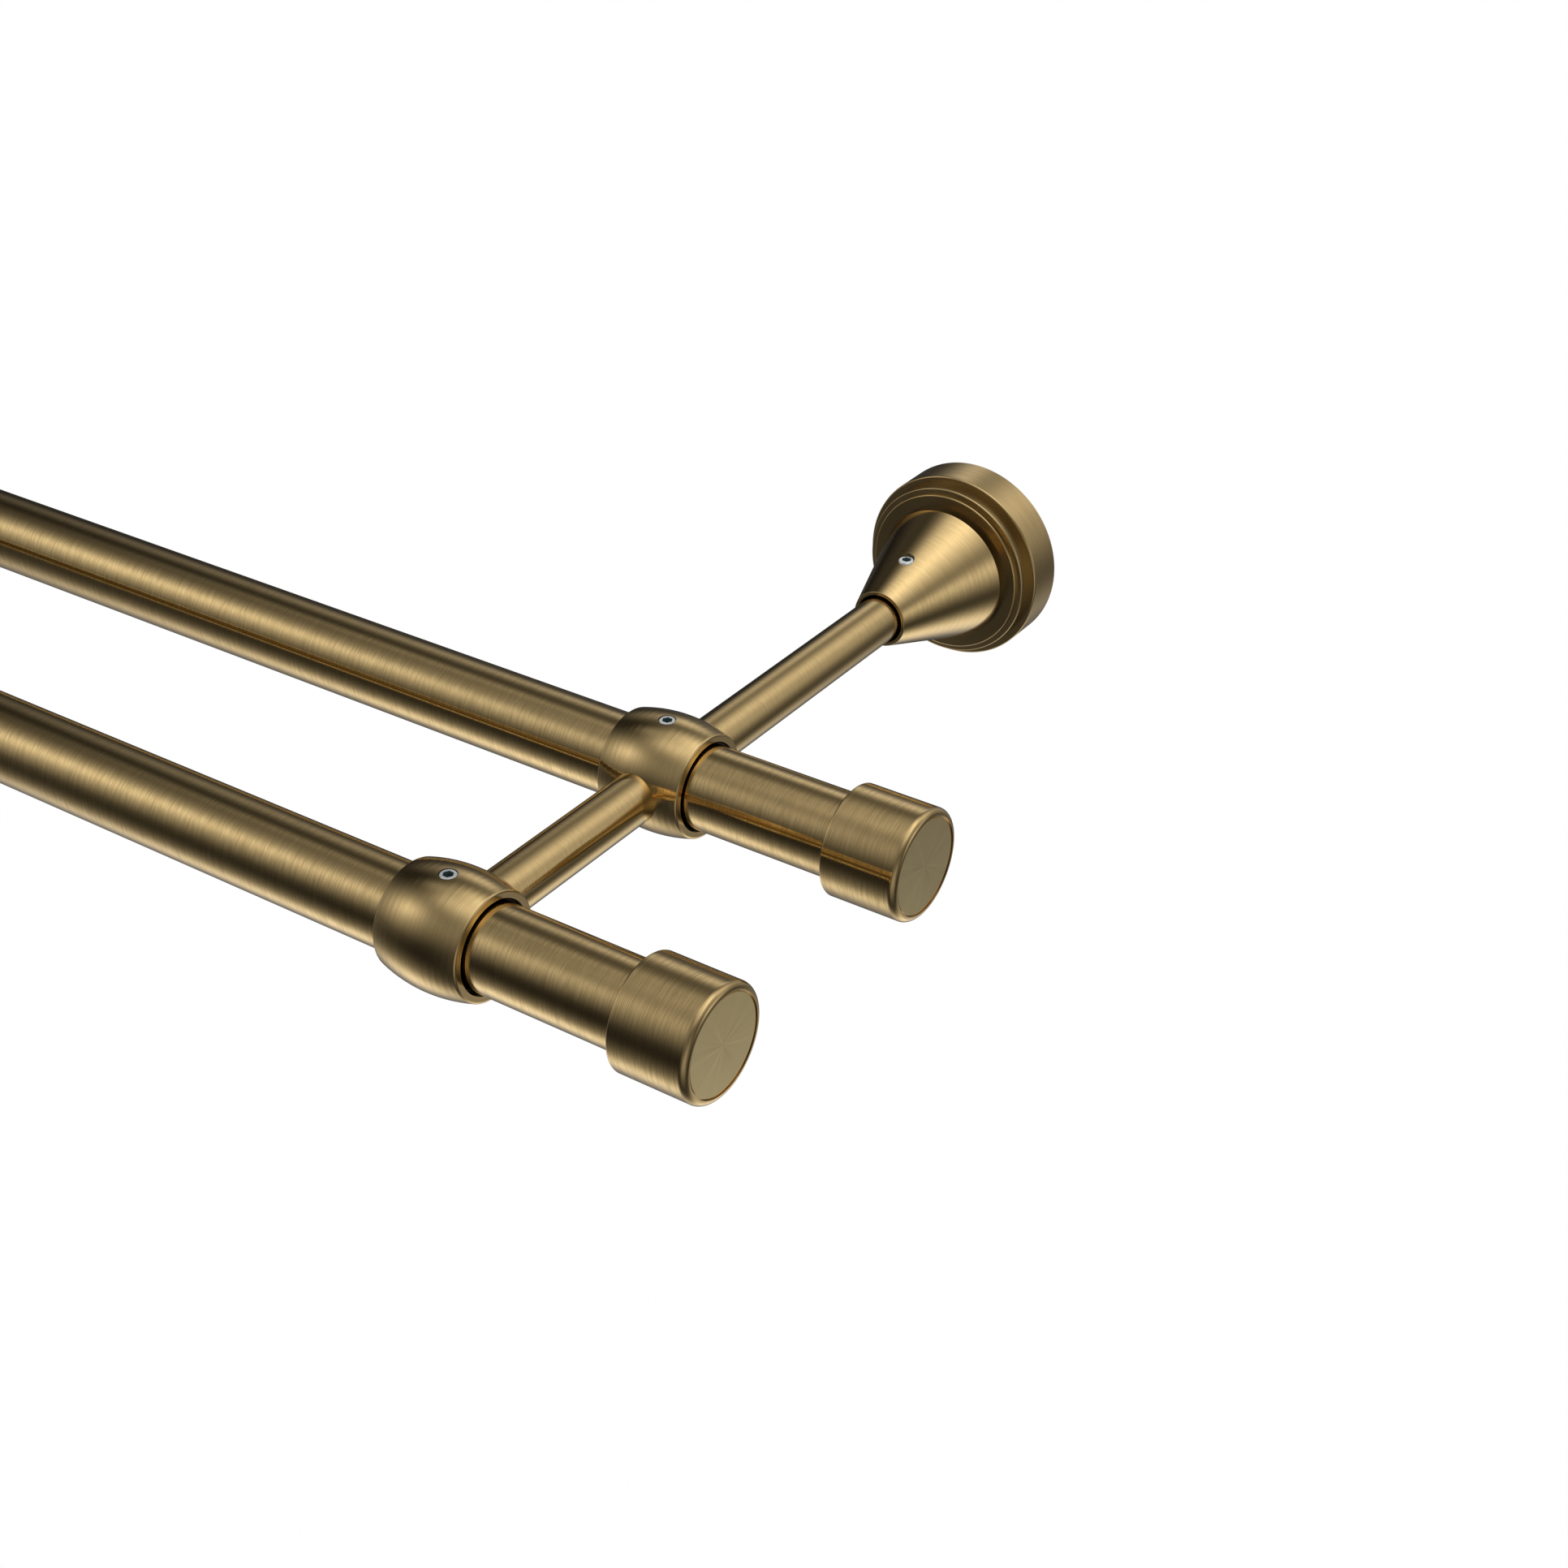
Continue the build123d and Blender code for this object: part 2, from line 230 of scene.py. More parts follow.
def aged_brass(name, colour, dark, rough_low, rough_high, depth, grain=0.55):
    """Brushed and lacquered brass: lines round the axis in height, roughness and tone, in three widths.
    It goes towards near black as far as the mesh's painted shade says: painted shade in bores, gaps, holes,
    on step walls and on some rounded edges. On a faced end the lines are faint, and the tone fans out from
    the middle, most of all near it: a painted reflection, the fan that a turned face throws. Depth is the
    height of the lines in metres, grain how far they draw reflections out."""
    finish = bpy.data.materials.new(name)
    finish.use_nodes = True
    tree = finish.node_tree
    shader = tree.nodes["Principled BSDF"]
    shader.inputs["Metallic"].default_value = 1.0
    shader.inputs["Anisotropic"].default_value = grain
    shader.inputs["Anisotropic Rotation"].default_value = 0.25
    tangent = node(tree, "ShaderNodeTangent", -300, -500, direction_type="UV_MAP", uv_map="turning")
    tree.links.new(tangent.outputs[0], shader.inputs["Tangent"])
    hair = turned_lines(tree, 5.2, 2.6, -2200, 700)
    fine = turned_lines(tree, 2.3, 1.9, -2200, 200)
    broad = turned_lines(tree, 0.5, 1.1, -2200, -300)
    both = arithmetic(tree, "ADD", arithmetic(tree, "MULTIPLY", hair, 0.50, -1000, 700),
                      arithmetic(tree, "MULTIPLY", fine, 0.42, -1000, 500), -850, 600)
    both = arithmetic(tree, "ADD", both, arithmetic(tree, "MULTIPLY", broad, 0.08, -1000, 300), -700, 500)
    mark = between(tree, both, 0.0, 1.0, -550, 500, 0.38, 0.62)
    tone = node(tree, "ShaderNodeMix", -300, 400, data_type="RGBA")
    tone.inputs["A"].default_value = (*dark, 1)
    tone.inputs["B"].default_value = (*colour, 1)
    tree.links.new(mark, tone.inputs["Factor"])
    end = node(tree, "ShaderNodeAttribute", -550, 900, attribute_name="faced", attribute_type="GEOMETRY")
    # Painted reflection: a radial fan in the faced end's tone, strongest near the middle, standing for the
    # fan of reflections on a turned face.
    painted_fan = between(tree, turned_lines(tree, 0.02, 4.0, -2200, 1300), -0.15, 0.15, -1100, 1000)
    run = node(tree, "ShaderNodeUVMap", -1500, 1200, uv_map="turning")
    parts = node(tree, "ShaderNodeSeparateXYZ", -1350, 1200)
    tree.links.new(run.outputs[0], parts.inputs[0])
    middle = between(tree, parts.outputs[1], 0.35, 2.1, -1100, 1200, 5.0, CAP_DISC)
    painted_fan = arithmetic(tree, "ADD", arithmetic(tree, "MULTIPLY", painted_fan, middle, -950, 1100), 1.0, -800, 1100)
    dull = node(tree, "ShaderNodeVectorMath", -700, 900, operation="SCALE")
    dull.inputs[0].default_value = FACED_BRASS
    tree.links.new(painted_fan, dull.inputs["Scale"])
    plain = node(tree, "ShaderNodeMix", -200, 600, data_type="RGBA")
    tree.links.new(end.outputs["Fac"], plain.inputs["Factor"])
    tree.links.new(tone.outputs["Result"], plain.inputs["A"])
    tree.links.new(dull.outputs["Vector"], plain.inputs["B"])
    # Painted shade: the colour goes towards near black as far as the face's painted shade value says.
    place = node(tree, "ShaderNodeAttribute", -550, 700, attribute_name="painted_shade", attribute_type="GEOMETRY")
    black = node(tree, "ShaderNodeMix", -120, 400, data_type="RGBA")
    black.inputs["B"].default_value = (0.03, 0.02, 0.01, 1)
    tree.links.new(place.outputs["Fac"], black.inputs["Factor"])
    tree.links.new(plain.outputs["Result"], black.inputs["A"])
    tree.links.new(black.outputs["Result"], shader.inputs["Base Color"])
    rough = between(tree, both, rough_high, rough_low, -450, 100, 0.35, 0.65)
    tree.links.new(rough, shader.inputs["Roughness"])
    bump = node(tree, "ShaderNodeBump", -300, -200)
    even = arithmetic(tree, "MULTIPLY_ADD", end.outputs["Fac"], -0.85, -450, -250, 1.0)
    tree.links.new(even, bump.inputs["Strength"])
    bump.inputs["Distance"].default_value = depth
    tree.links.new(both, bump.inputs["Height"])
    tree.links.new(bump.outputs[0], shader.inputs["Normal"])
    return finish


def plated_steel(name, colour, rough, metal=1.0, top=None, axes=()):
    """Zinc plate: pale metal with a fine speckle in tone and roughness. Given the height of the screws' tops
    and the Y of their axes, the key holes are painted dark teal, painted shade tinted as a painted reflection
    of their walls: nearer than KEY_ROOM to an axis and a little below the top."""
    finish = bpy.data.materials.new(name)
    finish.use_nodes = True
    tree = finish.node_tree
    shader = tree.nodes["Principled BSDF"]
    shader.inputs["Metallic"].default_value = metal
    place = node(tree, "ShaderNodeTexCoord", -1100, 200)
    noise = node(tree, "ShaderNodeTexNoise", -900, 200)
    noise.inputs["Scale"].default_value = 2400.0
    noise.inputs["Detail"].default_value = 3.0
    tree.links.new(place.outputs["Object"], noise.inputs["Vector"])
    cloud = node(tree, "ShaderNodeTexNoise", -900, -200)
    cloud.inputs["Scale"].default_value = 170.0
    cloud.inputs["Detail"].default_value = 4.0
    tree.links.new(place.outputs["Object"], cloud.inputs["Vector"])
    patchy = arithmetic(tree, "ADD", arithmetic(tree, "MULTIPLY", noise.outputs["Fac"], 0.4, -750, 300),
                        arithmetic(tree, "MULTIPLY", cloud.outputs["Fac"], 0.6, -750, 150), -600, 250)
    tone = node(tree, "ShaderNodeMix", -300, 300, data_type="RGBA")
    tone.inputs["A"].default_value = (*[0.72 * c for c in colour], 1)
    tone.inputs["B"].default_value = (*colour, 1)
    tree.links.new(between(tree, patchy, 0, 1, -450, 300, 0.38, 0.62), tone.inputs["Factor"])
    tree.links.new(tone.outputs["Result"], shader.inputs["Base Color"])
    # Painted shade in the key holes, tinted teal as a painted reflection of their walls.
    if top is not None:
        spot = node(tree, "ShaderNodeSeparateXYZ", -1500, 600)
        tree.links.new(place.outputs["Object"], spot.inputs[0])
        off_x = arithmetic(tree, "ABSOLUTE", spot.outputs["X"], None, -1350, 700)
        off_x = arithmetic(tree, "SUBTRACT", off_x, BRACKET_X / 1000, -1200, 700)
        off_y = None
        for k, axis_y in enumerate(axes):
            far = arithmetic(tree, "SUBTRACT", spot.outputs["Y"], axis_y / 1000, -1350, 500 - 120 * k)
            far = arithmetic(tree, "ABSOLUTE", far, None, -1200, 500 - 120 * k)
            off_y = far if off_y is None else arithmetic(tree, "MINIMUM", off_y, far, -1050, 500 - 120 * k)
        square = arithmetic(tree, "ADD", arithmetic(tree, "POWER", off_x, 2.0, -1050, 800),
                            arithmetic(tree, "POWER", off_y, 2.0, -1050, 650), -900, 700)
        inside = arithmetic(tree, "LESS_THAN", square, (KEY_ROOM / 1000) ** 2, -750, 700)
        below = arithmetic(tree, "LESS_THAN", spot.outputs["Z"], (top - 0.04) / 1000, -750, 550)
        key_hole_shade = node(tree, "ShaderNodeMix", -120, 400, data_type="RGBA")
        key_hole_shade.inputs["B"].default_value = (0.10, 0.165, 0.16, 1)
        tree.links.new(arithmetic(tree, "MULTIPLY", inside, below, -600, 620), key_hole_shade.inputs["Factor"])
        tree.links.new(tone.outputs["Result"], key_hole_shade.inputs["A"])
        tree.links.new(key_hole_shade.outputs["Result"], shader.inputs["Base Color"])
    tree.links.new(between(tree, noise.outputs["Fac"], rough - 0.06, rough + 0.06, -600, 0),
                   shader.inputs["Roughness"])
    bump = node(tree, "ShaderNodeBump", -300, -200)
    bump.inputs["Strength"].default_value = 0.4
    bump.inputs["Distance"].default_value = 1e-5
    tree.links.new(noise.outputs["Fac"], bump.inputs["Height"])
    tree.links.new(bump.outputs[0], shader.inputs["Normal"])
    return finish


BRASS = (0.765, 0.555, 0.262)
BRASS_DARK = (0.545, 0.39, 0.172)
FACED_BRASS = (0.615, 0.485, 0.232)
SOFT_BRASS = (0.70, 0.507, 0.236)
SOFT_BRASS_DARK = (0.61, 0.438, 0.198)
rod_brass = aged_brass("brushed brass of the rods", BRASS, BRASS_DARK, 0.07, 0.18, 1.5e-5)
cap_brass = aged_brass("brushed brass of the caps", BRASS, BRASS_DARK, 0.07, 0.19, 2.1e-5)
ring_brass = aged_brass("turned brass of the rings", SOFT_BRASS, SOFT_BRASS_DARK, 0.08, 0.18, 1.0e-5)
arm_brass = aged_brass("drawn brass of the arms", SOFT_BRASS, SOFT_BRASS_DARK, 0.08, 0.18, 1.4e-5)
cone_brass = aged_brass("turned brass of the cones", SOFT_BRASS, SOFT_BRASS_DARK, 0.09, 0.18, 0.9e-5)
rosette_brass = aged_brass("turned brass of the rosettes", SOFT_BRASS, SOFT_BRASS_DARK, 0.14, 0.23,
                           0.9e-5, 0.85)
ring_zinc = plated_steel("zinc plate of the ring screws", (0.80, 0.84, 0.84), 0.30, 0.6, RING_SCREW_TOP,
                         (FRONT_Y, REAR_Y))
cone_zinc = plated_steel("zinc plate of the cone screws", (0.86, 0.89, 0.90), 0.25, 0.5, CONE_SCREW_TOP,
                         (CONE_SCREW_Y,))
plate_steel = plated_steel("zinc plate of the wall plates", (0.62, 0.62, 0.60), 0.42)


# Pieces.
def rod(solid, y):
    """Tube: the inner side with both ends, then the outer side in five stretches, painted dark inside the
    rings as shade.
    """
    half, inner = ROD_LENGTH / 2, ROD_RADIUS - ROD_WALL
    near, far = BRACKET_X - RING_HALF, BRACKET_X + RING_HALF
    ends = [-half, -far, -near, near, far, half]
    patches = [revolve("X", 0, y, [(-half, ROD_RADIUS), (-half, inner), (half, inner), (half, ROD_RADIUS)])]
    for k in range(5):
        stretch = [(ends[k], ROD_RADIUS), (ends[k + 1], ROD_RADIUS)]
        # The two stretches inside the rings carry full painted shade.
        patches.append(revolve("X", 0, y, stretch, painted_shade=float(k in (1, 3))))
    make_piece(solid, "tube", patches, rod_brass)


def cap(solid, side, y):
    """Blind cap: rounded outer end, sunk disc behind a fine groove, socket for the tube. In its outline
    the rounded end runs to point 24, the groove to point 27 and the disc to the last point."""
    back, face = BRACKET_X + CAP_FACE - CAP_LENGTH, BRACKET_X + CAP_FACE
    groove, disc, floor = face - CAP_GROOVE_DEPTH, face - CAP_SINK, back + CAP_SOCKET_DEPTH
    corners = [
        (floor, 0), (floor, CAP_SOCKET), (back, CAP_SOCKET), (back, CAP_RADIUS), (face, CAP_RADIUS),
        (face, CAP_GROOVE), (groove, CAP_GROOVE), (groove, CAP_DISC), (disc, CAP_DISC), (disc, 0),
    ]
    outline = rounded(corners, {3: CAP_BACK_ROUND, 4: CAP_ROUND, 8: CAP_DISC_ROUND})
    bend = int(np.argmax(outline[:, 0] > face - CAP_ROUND - 0.001))
    outline[:, 0] *= side
    # The rounded end carries a slight painted shade, which dims its reflections.
    make_piece(solid, "shell", [
        revolve("X", 0, y, outline[:bend + 1]), revolve("X", 0, y, outline[bend:25], painted_shade=0.1),
        revolve("X", 0, y, outline[24:28]), revolve("X", 0, y, outline[27:], faced=1.0),
    ], cap_brass)


def barrel_radius(s):
    """Radius of the barrel at distance s from its middle: R(s) = R0 - (A - sqrt(A^2 - s^2)),
    with A the radius of the flank's arc."""
    drop = RING_RADIUS - RING_EDGE
    arc = (RING_HALF ** 2 + drop ** 2) / (2 * drop)
    return RING_RADIUS - (arc - np.sqrt(arc ** 2 - s ** 2))


def pierced(axis, x, y, s0, radius, window, sides, floor, rings=14):
    """Window of a surface of revolution with the screw hole in its middle, bored along Z at the length
    s0. The window reaches as far as window along the axis and takes up a number of sides round it. Its
    edge runs through the points of the patches beside it, so the seam closes. Each of its points goes
    with the hole's point in the same direction a: p = (1 - w) hole(a) + w edge(a) in (length, turn), then
    carried onto the surface, with the rings of points closer together near the hole. The hole's wall goes
    straight down to its floor."""
    u, v = np.linspace(-1, 1, WINDOW_STEPS + 1), np.linspace(-1, 1, sides + 1)
    square = np.concatenate([
        np.stack([1 + 0 * v, v], -1)[:-1], np.stack([-u, 1 + 0 * u], -1)[:-1],
        np.stack([-1 + 0 * v, -v], -1)[:-1], np.stack([u, -1 + 0 * u], -1),
    ])
    a = np.unwrap(np.arctan2(square[:, 1], square[:, 0]))
    edge = square * (window, TURN / SIDES * sides / 2)
    hole_s = SCREW_HOLE * np.cos(a)
    hole_t = np.arcsin(SCREW_HOLE * np.sin(a) / radius(s0 + hole_s))
    w = (np.linspace(0, 1, rings + 1) ** 1.4)[:, None, None]
    grid = (1 - w) * np.stack([hole_s, hole_t], -1)[None] + w * edge[None]
    s, t = s0 + grid[..., 0], grid[..., 1]
    top = around(axis, x, y, s, radius(s), t)
    lip, low = top[0], top[0].copy()
    low[:, 2] = floor
    middle = around(axis, x, y, s0, floor, 0.0) + 0 * low
    wall = np.stack([lip, 0.5 * (lip + low), low, middle])
    steps = np.arange(4.0)[:, None]
    # The hole's wall and floor are painted dark, as shade in the hole.
    return [sheet_of(top, s, t), sheet_of(wall, steps, a, painted_shade=0.8)]


def ring(solid, x, y):
    """Barrel ring: R(s) flank with a screw hole on top, rounded end edges, bore with relief. The bore, its
    relief and the broken edges of its mouths are painted black, as shade.
    """
    half, inner, mouth = RING_HALF, RING_HALF - RING_RELIEF_DEPTH, RING_RELIEF + EDGE_BREAK
    start = half - RING_EDGE_WIDTH
    left = rounded([(-half, mouth), (-half, RING_EDGE), (-start, barrel_radius(start))], {1: RING_ROUND}, 8)
    flank = np.array([-8.0, -6.4, -4.8, -RING_WINDOW])
    left = np.concatenate([left, np.stack([flank, barrel_radius(flank)], -1)])
    right = left[::-1] * np.array([-1, 1])
    band = np.linspace(-RING_WINDOW, RING_WINDOW, WINDOW_STEPS + 1)
    bore = np.array([
        (half, mouth), (half - EDGE_BREAK, RING_RELIEF), (inner, RING_RELIEF), (inner, RING_BORE),
        (-inner, RING_BORE), (-inner, RING_RELIEF), (-half + EDGE_BREAK, RING_RELIEF), (-half, mouth),
    ])
    gap = TURN / SIDES * RING_WINDOW_SIDES / 2
    make_piece(solid, "barrel", [
        revolve("X", x, y, left), revolve("X", x, y, right),
        revolve("X", x, y, np.stack([band, barrel_radius(band)], -1), gap, TURN - gap,
                SIDES - RING_WINDOW_SIDES),
        *pierced("X", x, y, 0.0, barrel_radius, RING_WINDOW, RING_WINDOW_SIDES, RING_HOLE_FLOOR),
        # Painted shade: the whole bore is black.
        revolve("X", x, y, bore, painted_shade=1.0),
    ], ring_brass)


def saddle(x_off, z):
    """How far from a rod's axis an arm starts at (x_off, z): sqrt((R(x) + g)^2 - z^2) on the barrel, with
    g the gap that is left between arm and ring."""
    return np.sqrt((barrel_radius(x_off) + ARM_GAP) ** 2 - z ** 2)


def arm(solid, x, start, end, end_on_ring):
    """Round bar along Y. It starts on a barrel. Its far end follows a barrel or is flat, in the cone."""
    turn = np.linspace(0, TURN, ARM_SIDES + 1)
    spread = np.linspace(0, 1, 9)[:, None] * ARM_RADIUS
    off, z = spread * np.sin(turn), spread * np.cos(turn)
    first = start + saddle(off, z)
    last = end - (saddle(off, z) if end_on_ring else 0 * off)
    along = first[-1] + np.linspace(0, 1, 25)[:, None] * (last[-1] - first[-1])
    body = np.stack([x + off[-1] + 0 * along, along, z[-1] + 0 * along], -1)
    make_piece(solid, "bar", [
        sheet_of(body, along - start, turn),
        sheet_of(np.stack([x + off, first, z], -1), spread, turn),
        sheet_of(np.stack([x + off, last, z], -1), spread, turn),
    ], arm_brass)


def cone_radius(y):
    """Radius of the cone's straight flank: R(y) = R0 + (R1 - R0) (y - y0) / (y1 - y0)."""
    slope = (CONE_BASE - CONE_MOUTH) / (CONE_BASE_Y - CONE_MOUTH_Y)
    return CONE_MOUTH + slope * (y - CONE_MOUTH_Y)


def cone(solid, x):
    """Cone with a screw hole on top, bored for the arm, with its foot and spigot. Its outline has ten points
    at the mouth, nine round the edge of the base, and the end of the low collar. The bore with the broken
    edge of the mouth is painted black, and the half of the base's round edge next to the collar and the
    collar itself are painted dark, all as shade."""
    outline = rounded([
        (CONE_MOUTH_Y, CONE_RELIEF + EDGE_BREAK), (CONE_MOUTH_Y, CONE_MOUTH), (CONE_BASE_Y, CONE_BASE),
        (STEP_TWO_Y, CONE_BASE),
    ], {1: CONE_MOUTH_ROUND, 2: CONE_BASE_ROUND}, 8)
    low, high = CONE_SCREW_Y - CONE_WINDOW, CONE_SCREW_Y + CONE_WINDOW
    mouth = np.concatenate([outline[:10], [(low, cone_radius(low))]])
    base = np.concatenate([[(high, cone_radius(high))], outline[10:15]])
    band = np.linspace(low, high, WINDOW_STEPS + 1)
    foot = np.array([
        (STEP_TWO_Y, CONE_BASE), (STEP_TWO_Y, SPIGOT), (SPIGOT_Y, SPIGOT), (SPIGOT_Y, STUD_HOLE),
        (STUD_HOLE_END, STUD_HOLE), (STUD_HOLE_END, 0),
    ])
    relief_end = CONE_MOUTH_Y + CONE_RELIEF_DEPTH
    bore = np.array([
        (CONE_BORE_END, 0), (CONE_BORE_END, CONE_BORE), (relief_end, CONE_BORE), (relief_end, CONE_RELIEF),
        (CONE_MOUTH_Y + EDGE_BREAK, CONE_RELIEF), (CONE_MOUTH_Y, CONE_RELIEF + EDGE_BREAK),
    ])
    gap = TURN / SIDES * CONE_WINDOW_SIDES / 2
    # Painted shade: the bore black, the base's round edge next to the collar and the collar dark.
    make_piece(solid, "body", [
        revolve("Y", x, 0, mouth), revolve("Y", x, 0, base),
        revolve("Y", x, 0, np.stack([band, cone_radius(band)], -1), gap, TURN - gap,
                SIDES - CONE_WINDOW_SIDES),
        *pierced("Y", x, 0, CONE_SCREW_Y, cone_radius, CONE_WINDOW, CONE_WINDOW_SIDES, CONE_HOLE_FLOOR),
        revolve("Y", x, 0, foot), revolve("Y", x, 0, bore, painted_shade=1.0),
        revolve("Y", x, 0, outline[14:19], painted_shade=0.6), revolve("Y", x, 0, outline[18:], painted_shade=0.85),
    ], cone_brass)


def rosette(solid, x):
    """Stepped disc with rounded steps, a flat face under the cone and a hollow back. Each stretch is given by
    its first and last point in the outline and by its painted shade: the walls of both steps and the flat
    face under the cone are painted darker, as shade."""
    corners = [
        (0, CAVITY), (0, ROSETTE_RADIUS), (ROSETTE_RIM_Y, ROSETTE_RADIUS), (ROSETTE_RIM_Y, STEP_ONE),
        (STEP_ONE_Y, STEP_ONE), (STEP_ONE_Y, STEP_TWO), (STEP_TWO_Y, STEP_TWO), (STEP_TWO_Y, SPIGOT_HOLE),
        (CAVITY_Y, SPIGOT_HOLE), (CAVITY_Y, CAVITY), (0, CAVITY),
    ]
    outline = rounded(corners, {2: ROSETTE_ROUND, 4: STEP_ROUND, 6: STEP_ROUND}, 8)
    # Painted shade: 0.5 on the walls of both steps, 0.2 on the flat face under the cone.
    stretches = [
        (0, 11, 0), (11, 12, 0.5), (12, 21, 0), (21, 22, 0.5), (22, 30, 0), (30, 31, 0.2), (31, 34, 0),
    ]
    make_piece(solid, "disc", [
        revolve("Y", x, 0, outline[first:last + 1], painted_shade=painted_shade) for first, last, painted_shade in stretches
    ], rosette_brass)


rod("front_rod", FRONT_Y)
rod("rear_rod", REAR_Y)
for side, word in ((-1, "left"), (1, "right")):
    x = side * BRACKET_X
    cap("front_cap_" + word, side, FRONT_Y)
    cap("rear_cap_" + word, side, REAR_Y)
    ring("front_ring_" + word, x, FRONT_Y)
    ring("rear_ring_" + word, x, REAR_Y)
    arm("front_arm_" + word, x, FRONT_Y, REAR_Y, True)
    arm("rear_arm_" + word, x, REAR_Y, REAR_ARM_END, False)
    cone("cone_" + word, x)
    rosette("rosette_" + word, x)

for name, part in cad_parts.items():
    if "grub" in name:
        finish = cone_zinc if "cone" in name else ring_zinc
    elif "stud" in name or "plate" in name:
        finish = plate_steel
    else:
        continue
    part.data.materials.clear()
    part.data.materials.append(finish)


# Studio light.
# Each soft lamp, as the metal sees it: height above the horizon and bearing from the room side, both in
# degrees, then tightness and strength.
LAMPS = [
    (69.4, 90.0, 7.9, 1.15), (38.4, 155.0, 12.9, 0.73), (26.6, -155.1, 59.8, 0.62), (28.3, -56.3, 13.5, 0.62),
    (74.0, -68.7, 26.4, 0.59), (67.3, 208.0, 32.0, 0.57), (4.7, 114.5, 18.0, 0.58), (70.6, 152.3, 34.0, 0.64),
    (-11.6, 44.5, 6.6, 0.49), (33.0, -54.5, 60.0, 0.46), (10.8, 109.3, 56.4, 0.38), (2.1, 174.9, 8.6, 0.37),
    (36.9, -3.3, 9.7, 0.23), (26.6, -141.1, 35.0, 0.25), (53.9, -107.3, 102.3, 0.20),
    (15.5, 134.5, 40.0, 0.20), (1.0, -90.0, 24.0, 0.50),
]
# Pools of light on the floor, in the same terms, seen from a point near the right bracket.
POOLS = [
    (-57.0, 151.0, 17.5, 1.22), (-54.3, -69.0, 30.0, 1.02), (-48.1, -92.4, 5.7, 0.23),
    (-41.4, -44.8, 25.7, 0.11), (-84.0, -140.0, 17.0, 0.46),
]
POOL_WHITE = 1.3


def lamp_sum(tree, way, lamps, x, y):
    """Sum over the lamps of a * exp(k (d . c - 1)), with d the looking way, c the way to a lamp, a its
    strength and k its tightness."""
    total = None
    for i, (height, bearing, tight, strength) in enumerate(lamps):
        e, b = np.radians(height), np.radians(bearing)
        centre = (np.sin(b) * np.cos(e), -np.cos(b) * np.cos(e), np.sin(e))
        row = y - 160 * i
        dot = node(tree, "ShaderNodeVectorMath", x, row, operation="DOT_PRODUCT")
        dot.inputs[1].default_value = [float(c) for c in centre]
        tree.links.new(way, dot.inputs[0])
        less = arithmetic(tree, "SUBTRACT", dot.outputs["Value"], 1.0, x + 180, row)
        power = arithmetic(tree, "MULTIPLY", less, tight, x + 320, row)
        falloff = arithmetic(tree, "EXPONENT", power, None, x + 460, row)
        lamp = arithmetic(tree, "MULTIPLY", falloff, strength, x + 600, row)
        total = lamp if total is None else arithmetic(tree, "ADD", total, lamp, x + 740, row)
    return total


def studio(lamps):
    """White studio. The metal sees dark cloths standing round it, with soft lamps before them."""
    world = bpy.data.worlds.new("studio")
    bpy.context.scene.world = world
    world.use_nodes = True
    world.cycles.sampling_method = "NONE"
    tree = world.node_tree
    tree.nodes.clear()
    out = node(tree, "ShaderNodeOutputWorld", 900, 0)
    place = node(tree, "ShaderNodeTexCoord", -900, 0)
    lit = node(tree, "ShaderNodeBackground", 400, -200)
    lit.inputs["Color"].default_value = (1, 1, 1, 1)
    tree.links.new(lamp_sum(tree, place.outputs["Generated"], lamps, -700, 0), lit.inputs["Strength"])
    plain = node(tree, "ShaderNodeBackground", 400, 0)
    plain.inputs["Color"].default_value = (1, 1, 1, 1)
    path = node(tree, "ShaderNodeLightPath", 400, 300)
    mixed = node(tree, "ShaderNodeMixShader", 650, 0)
    tree.links.new(path.outputs["Is Glossy Ray"], mixed.inputs[0])
    tree.links.new(plain.outputs[0], mixed.inputs[1])
    tree.links.new(lit.outputs[0], mixed.inputs[2])
    tree.links.new(mixed.outputs[0], out.inputs[0])


studio(LAMPS)

# Floor, in metres.
FLOOR_Z = -1.9


